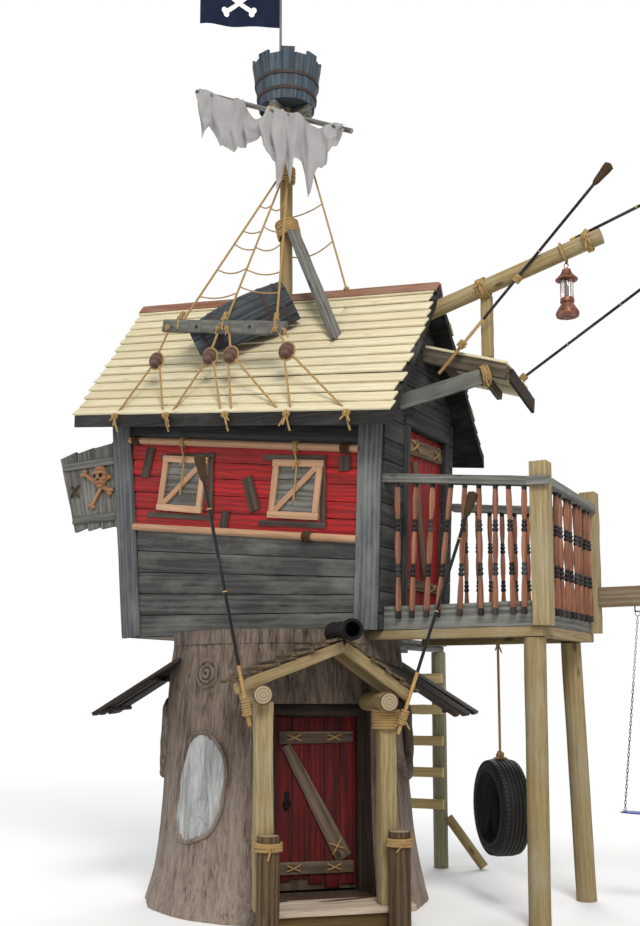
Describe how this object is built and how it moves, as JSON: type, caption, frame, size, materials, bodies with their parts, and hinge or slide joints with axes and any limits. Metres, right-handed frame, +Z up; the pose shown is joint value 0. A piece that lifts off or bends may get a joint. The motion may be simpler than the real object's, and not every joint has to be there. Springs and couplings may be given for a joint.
{
  "type": "play tree house",
  "caption": "Crooked play tree house: plank cabin with a lapped gable roof on a hollow carved trunk, with porch, railed deck, mast with look-out tub, tyre swing and seat swing.",
  "frame": {"origin": "centre of the trunk on the ground", "axes": "+X to the right along the cabin front, +Y towards the back, +Z up"},
  "size_m": [6.8901, 3.6958, 8.5],
  "materials": {
    "bark": "carved bark, brown-grey and lighter below",
    "scar_wood": "smooth pale grey wood",
    "dark_wood": "dark stained rough boards",
    "red_boards": "deep red stained boards, streaked",
    "golden_wood": "golden timber, oiled",
    "porch_boards": "rough lapped boards",
    "iron": "black iron",
    "grey_boards": "weathered grey-blue boards",
    "corner_wood": "grey-blue corner boards",
    "shutter_wood": "grey boards with peach frames",
    "roof_boards": "pale lapped boards",
    "ridge_wood": "rust-brown board",
    "pole_wood": "peeled poles, yellow-tan",
    "copper": "aged copper with glass",
    "deck_wood": "yellow-tan sawn timber",
    "spindle_wood": "rust-brown turned wood with near-black ends",
    "slate_wood": "slate-blue staves",
    "sailcloth": "off-white torn canvas",
    "flag_cloth": "navy cloth with a white emblem",
    "barrel_wood": "dark staves with a rusty stripe",
    "rope": "straw-coloured rope",
    "tyre_rubber": "worn black rubber",
    "seat_rubber": "blue belt seat on chains",
    "torch_pole": "black poles with fibre-wrapped heads"
  },
  "bodies": {
    "house": {"trunk_wall_left": "bark", "trunk_wall_right": "bark", "trunk_wall_back": "bark", "trunk_wall_over_door": "bark", "trunk_floor": "dark_wood", "trunk_cap": "dark_wood", "trunk_hoods": "dark_wood", "bark_details": "scar_wood", "door_frame": "dark_wood", "porch_step": "golden_wood", "porch_posts": "golden_wood", "porch_beams": "golden_wood", "porch_roof": "porch_boards", "cannon": "iron", "cabin_floor": "deck_wood", "front_wall": "grey_boards", "back_wall": "grey_boards", "left_end_wall": "grey_boards", "right_end_wall": "grey_boards", "side_door": "red_boards", "corner_boards": "corner_wood", "trim_poles": "pole_wood", "shutters": "shutter_wood", "roof_front": "roof_boards", "roof_back": "roof_boards", "ridge_cap": "ridge_wood", "side_hood_roof": "roof_boards", "side_hood_frame": "golden_wood", "bow_log": "pole_wood", "deck_floor": "deck_wood", "deck_frame": "deck_wood", "deck_posts": "pole_wood", "front_railing": "spindle_wood", "right_railing": "spindle_wood", "back_railing": "spindle_wood", "ladder_landing": "deck_wood", "ladder": "pole_wood", "mast": "pole_wood", "look_out_tub": "slate_wood", "sail": "sailcloth", "flag": "flag_cloth", "spars": "pole_wood", "half_barrel": "barrel_wood", "rigging_board": "pole_wood", "deadeyes": "dark_wood", "rigging_ropes": "rope", "swing_frame": "deck_wood", "pole_torches": "torch_pole", "hooks": "iron"},
    "door": {"trunk_door": "red_boards", "door_braces": "golden_wood"},
    "lantern": {"lantern": "copper"},
    "tyre": {"tyre": "tyre_rubber", "tyre_rope": "rope"},
    "swing": {"swing_seat": "seat_rubber"}
  },
  "joints": [
    {"name": "door_hinge", "type": "hinge", "parent": "house", "child": "door", "pos_m": [0.69148, -0.176, 0.8], "axis": [0, 0, -1], "range_deg": [0, 90]},
    {"name": "lantern_swing", "type": "hinge", "parent": "house", "child": "lantern", "pos_m": [2.265, 0.33, 4.815], "axis": [0, 1, 0], "range_deg": [-25, 25]},
    {"name": "tyre_swing", "type": "hinge", "parent": "house", "child": "tyre", "pos_m": [1.63, 0.4, 2], "axis": [-0.6691, 0.7431, 0], "range_deg": [-15, 15]},
    {"name": "seat_swing", "type": "hinge", "parent": "house", "child": "swing", "pos_m": [2.69, 0.96875, 2.2], "axis": [1, 0, 0], "range_deg": [-35, 35]}
  ]
}
